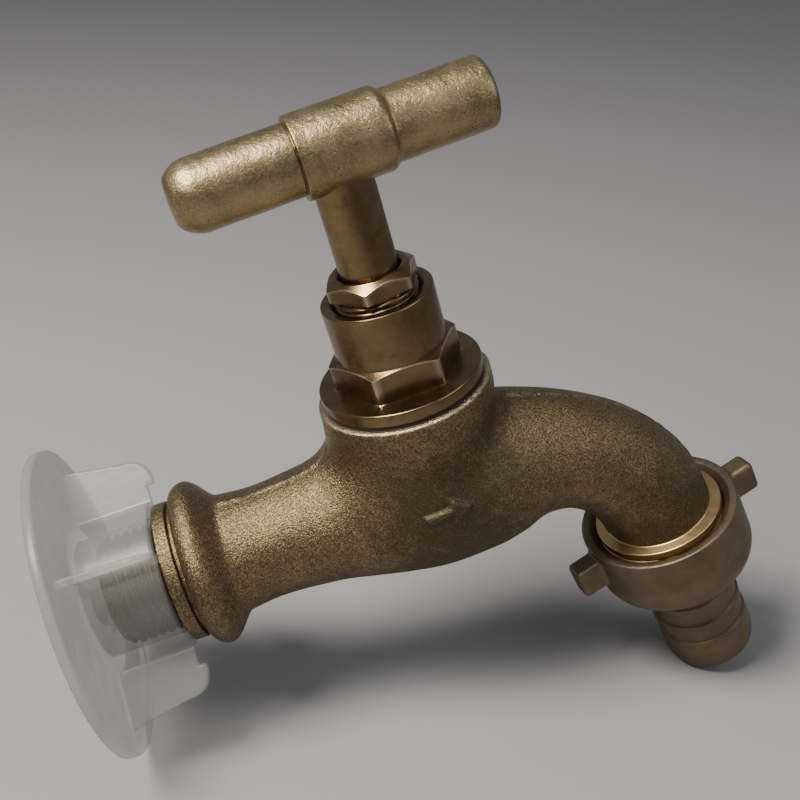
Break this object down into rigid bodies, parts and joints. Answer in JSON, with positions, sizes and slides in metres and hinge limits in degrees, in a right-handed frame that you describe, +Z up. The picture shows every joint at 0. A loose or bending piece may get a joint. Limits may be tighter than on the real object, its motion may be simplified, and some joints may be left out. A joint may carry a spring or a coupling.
{
  "type": "hose bib tap",
  "caption": "Wall-mounted brass bib tap with a T handle, a screwed wall inlet in a plastic transport cap, and a winged hose union on its bent spout.",
  "frame": {"origin": "centre of the inlet shoulder, on the inlet axis, where the wall thread meets the flange ring", "axes": "+X from the inlet towards the spout, +Z up along the spindle, +Y to the far side"},
  "size_m": [0.1353, 0.06, 0.142],
  "materials": {
    "cast_brass": "sand-cast, grainy satin",
    "turned_brass": "turned, semi-gloss",
    "handle_brass": "satin, lightly pitted",
    "union_brass": "smooth satin",
    "inner_brass": "machined",
    "cap_plastic": "milky, translucent",
    "fibre": "matt vulcanised fibre",
    "packing": "soft PTFE",
    "rubber": "matt",
    "screw_steel": "plain"
  },
  "bodies": {
    "tap": {"tap_body": "cast_brass", "bonnet": "turned_brass", "bonnet_washer": "fibre", "gland_washer": "inner_brass", "gland_packing": "packing", "gland_nut": "turned_brass"},
    "valve": {"jumper_valve": "inner_brass", "jumper_washer": "rubber", "jumper_nut": "inner_brass"},
    "stem": {"spindle": "turned_brass", "crutch_handle": "handle_brass", "handle_grub_screw": "screw_steel"},
    "cap": {"inlet_cap": "cap_plastic"},
    "union": {"tail_washer": "rubber"},
    "nut": {"wing_nut": "union_brass"},
    "tail": {"hose_tail": "union_brass"}
  },
  "joints": [
    {"name": "valve_lift", "type": "slide", "parent": "tap", "child": "valve", "axis": [0, 0, 1], "range_m": [0, 0.005]},
    {"name": "spindle_turn", "type": "hinge", "parent": "valve", "child": "stem", "pos_m": [0.052, 0, 0.05], "axis": [0, 0, 1], "range_deg": [0, 720]},
    {"name": "union_slide", "type": "slide", "parent": "tap", "child": "union", "axis": [0.1788, 0, -0.9839], "range_m": [0, 0.0073]},
    {"name": "nut_turn", "type": "hinge", "parent": "union", "child": "nut", "pos_m": [0.09628, 0, -0.03262], "axis": [0.1788, 0, -0.9839], "range_deg": [0, 1440]},
    {"name": "tail_swivel", "type": "hinge", "parent": "union", "child": "tail", "pos_m": [0.10022, 0, -0.05427], "axis": [0.1788, 0, -0.9839], "continuous": true},
    {"name": "cap_pull", "type": "slide", "parent": "tap", "child": "cap", "axis": [-1, 0, 0], "range_m": [0, 0.04]}
  ],
  "couplings": [
    {"joint": "valve_lift", "follows": "spindle_turn", "m_per_rad": 0.00039789},
    {"joint": "union_slide", "follows": "nut_turn", "m_per_rad": 0.00028871}
  ]
}
